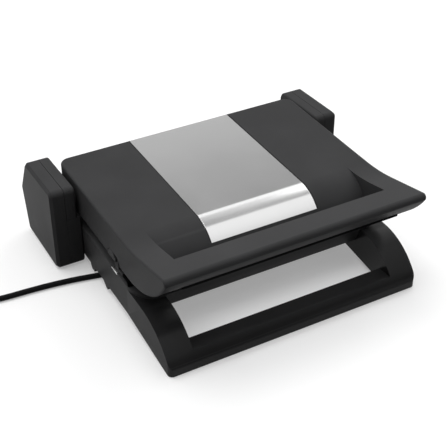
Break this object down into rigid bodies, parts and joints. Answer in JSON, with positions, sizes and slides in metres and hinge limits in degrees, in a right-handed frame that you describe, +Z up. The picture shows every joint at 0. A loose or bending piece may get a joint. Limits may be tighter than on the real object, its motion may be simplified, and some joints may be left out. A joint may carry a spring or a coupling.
{
  "type": "panini press",
  "caption": "Contact grill with a ribbed plate in base and lid, a floating hinge that opens flat, a bar handle and a mains cord.",
  "frame": {"origin": "middle of the footprint on the table, without the cord", "axes": "+X to the right, +Y from the handle to the hinge, +Z up"},
  "size_m": [0.6739, 0.3575, 0.1334],
  "materials": {
    "black_plastic": "fine matt texture",
    "satin_black_plastic": "satin",
    "rubber": "matt",
    "steel": "plain",
    "brushed_steel": "brushed across",
    "reflector_sheet": "rolled sheet",
    "nonstick_aluminium": "non-stick coating",
    "cord_black": "smooth",
    "white_plastic": "plain",
    "slider_plastic": "plain"
  },
  "bodies": {
    "base": {"base_shell": "black_plastic", "front_foot_frame": "satin_black_plastic", "front_foot_pads": "rubber", "base_bottom_cover": "black_plastic", "bottom_cover_screws": "steel", "rear_feet": "rubber", "outer_tower_right": "black_plastic", "outer_tower_left": "black_plastic", "tower_guide_plate_right": "black_plastic", "tower_guide_plate_left": "black_plastic", "inner_tower_right": "black_plastic", "inner_tower_left": "black_plastic", "tower_screws": "steel", "lower_grill_plate": "nonstick_aluminium", "lower_heating_element": "steel", "lower_reflector": "reflector_sheet", "thermostat": "steel", "terminal_block": "white_plastic", "lock_keeper": "steel", "cord_strain_relief": "cord_black", "power_cord": "cord_black", "cord_coil": "cord_black", "mains_plug": "cord_black"},
    "hinge_carrier": {"hinge_slider_right": "slider_plastic", "hinge_slider_left": "slider_plastic", "hinge_pin_right": "steel", "hinge_pin_left": "steel"},
    "lid": {"lid_shell": "black_plastic", "lid_bezel": "black_plastic", "steel_panel": "brushed_steel", "handle_lower_cover": "satin_black_plastic", "upper_grill_plate": "nonstick_aluminium", "upper_heating_element": "steel", "upper_reflector": "reflector_sheet", "lid_knuckle_right": "black_plastic", "lid_knuckle_left": "black_plastic", "knuckle_screws": "steel"},
    "lid_lock": {"lock_slider": "black_plastic"}
  },
  "joints": [
    {"name": "hinge_float", "type": "slide", "parent": "base", "child": "hinge_carrier", "axis": [0, 0, 1], "range_m": [0, 0.015]},
    {"name": "lid_hinge", "type": "hinge", "parent": "hinge_carrier", "child": "lid", "pos_m": [0, 0.139, 0.067], "axis": [-1, 0, 0], "range_deg": [0, 180]},
    {"name": "lock_slide", "type": "slide", "parent": "lid", "child": "lid_lock", "axis": [0, -1, 0], "range_m": [0, 0.012]}
  ]
}
